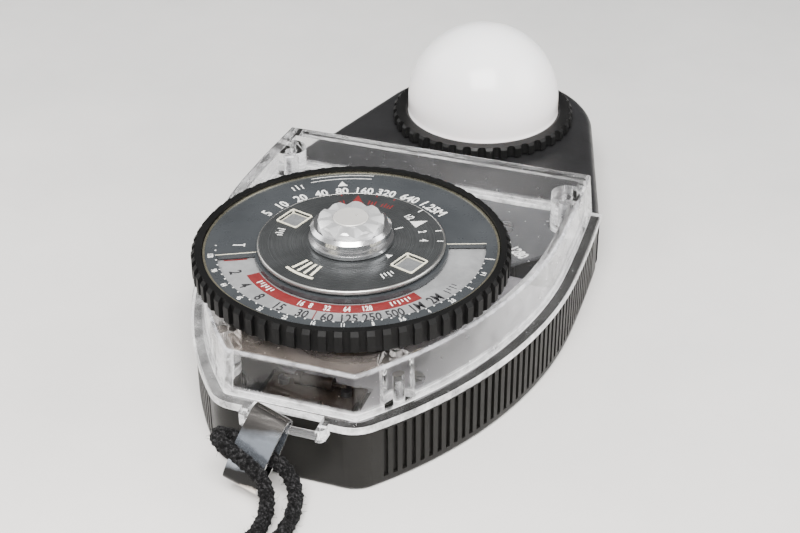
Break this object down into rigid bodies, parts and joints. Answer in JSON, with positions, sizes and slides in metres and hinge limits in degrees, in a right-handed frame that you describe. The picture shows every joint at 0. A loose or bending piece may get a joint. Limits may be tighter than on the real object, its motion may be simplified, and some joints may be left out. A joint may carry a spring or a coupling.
{
  "type": "handheld light meter",
  "caption": "Handheld incident light meter with a clear-covered needle movement, calculator dial, swivelling dome head and a strap on a metal link.",
  "frame": {"origin": "centre of the body's footprint on the table, the meter lying on its back", "axes": "+Z out of the dial, +Y from the strap lug to the swivel head, +X to the right"},
  "size_m": [0.0584, 0.171, 0.0291],
  "materials": {
    "black_case": "satin",
    "clear": "polished clear plastic",
    "black_matte": "matte",
    "white_dome": "translucent satin",
    "chrome": "polished",
    "satin_metal": "satin",
    "steel": "brushed",
    "brass": "satin",
    "dark_steel": "blackened",
    "plate_silver": "matte",
    "scale_grey": "matte printed",
    "dial_black": "satin printed",
    "gilt": "satin",
    "scale_white": "satin printed",
    "magnet": "dull",
    "copper": "enamelled wire",
    "board": "laminate",
    "cell": "coated cell",
    "fibre": "fibre washer",
    "needle_red": "matte",
    "cord": "braided"
  },
  "bodies": {
    "root": {"rear_case": "black_case", "back_plate": "black_matte", "clear_cover": "clear", "case_screws": "steel", "chassis_plate": "plate_silver", "plate_screws": "steel", "scale_plate": "scale_grey", "movement_yoke": "steel", "core_magnet": "magnet", "core_holder": "brass", "lower_bridge": "brass", "upper_bridge": "brass", "bridge_screws": "steel", "jewel_screws": "brass", "hairsprings": "copper", "terminal_board": "board", "terminals": "brass", "calibration_resistors": "board", "brake_bracket": "steel", "brake_pin": "steel", "dial_spindle": "satin_metal", "spindle_nut": "brass", "button_spring": "steel", "contact_brushes": "copper", "brush_block": "board", "strap_cord_left": "cord", "strap_cord_right": "cord", "strap_cord_coil": "cord"},
    "dial": {"dial_wheel": "black_matte", "wheel_bush": "brass", "dial_face": "dial_black", "dial_trim_ring": "gilt"},
    "film_speed": {"film_disc": "dial_black", "shutter_disc": "scale_white", "knob_collar": "chrome", "knob_cap": "chrome"},
    "button": {"stop_button": "satin_metal", "button_clip": "steel"},
    "brake": {"brake_lever": "steel"},
    "needle": {"moving_coil": "copper", "pivot_staffs": "steel", "pointer": "needle_red", "balance_weights": "brass"},
    "zero_plug": {"zero_screw": "brass"},
    "zero_arm": {"zero_lever": "brass"},
    "head": {"head_front_shell": "black_case", "head_rear_shell": "black_case", "head_screws": "steel", "swivel_hub": "satin_metal", "swivel_nut": "steel", "friction_washer": "fibre", "contact_rings": "copper", "photocell": "cell", "cell_back_spring": "copper", "cell_contact_ring": "copper", "cell_clamp_ring": "dark_steel", "bayonet_seat": "dark_steel"},
    "receptor": {"dome_ring": "black_matte", "dome": "white_dome"},
    "link": {"strap_link": "chrome"}
  },
  "joints": [
    {"name": "dial_turn", "type": "hinge", "parent": "root", "child": "dial", "pos_m": [0, -0.02935, 0.022], "axis": [0, 0, 1], "continuous": true},
    {"name": "film_speed_turn", "type": "hinge", "parent": "dial", "child": "film_speed", "pos_m": [0, -0.02935, 0.024], "axis": [0, 0, 1], "range_deg": [-150, 150]},
    {"name": "button_press", "type": "slide", "parent": "root", "child": "button", "axis": [0, 0, -1], "range_m": [0, 0.001], "stiffness_N_per_m": 1500, "springref_m": -0.0003, "deforming": ["button_spring"]},
    {"name": "brake_rock", "type": "hinge", "parent": "root", "child": "brake", "pos_m": [0, -0.03535, 0.0156], "axis": [1, 0, 0], "range_deg": [-11.2, 0]},
    {"name": "needle_swing", "type": "hinge", "parent": "root", "child": "needle", "pos_m": [0, -0.02935, 0.012], "axis": [0, 0, 1], "range_deg": [-76, 0], "stiffness_Nm_per_rad": 0.00001, "deforming": ["hairsprings"]},
    {"name": "zero_turn", "type": "hinge", "parent": "root", "child": "zero_plug", "pos_m": [0, -0.04135, 0.001], "axis": [0, 0, 1], "range_deg": [-30, 30]},
    {"name": "zero_arm_turn", "type": "hinge", "parent": "root", "child": "zero_arm", "pos_m": [0, -0.02935, 0.00276], "axis": [0, 0, 1], "range_deg": [-2.4, 2.4]},
    {"name": "head_swivel", "type": "hinge", "parent": "root", "child": "head", "pos_m": [0, 0.01065, 0.006], "axis": [0, 1, 0], "range_deg": [-90, 180]},
    {"name": "receptor_twist", "type": "hinge", "parent": "head", "child": "receptor", "pos_m": [0, 0.03765, 0.012], "axis": [0, 0, 1], "range_deg": [0, 54]},
    {"name": "link_swing", "type": "hinge", "parent": "root", "child": "link", "pos_m": [-0.0019, -0.05715, 0.0102], "axis": [1, 0, 0], "range_deg": [-45, 8], "deforming": ["strap_cord_left", "strap_cord_right"]}
  ],
  "couplings": [
    {"joint": "brake_rock", "follows": "button_press", "rad_per_m": -190},
    {"joint": "zero_arm_turn", "follows": "zero_turn", "ratio": 0.0769}
  ]
}
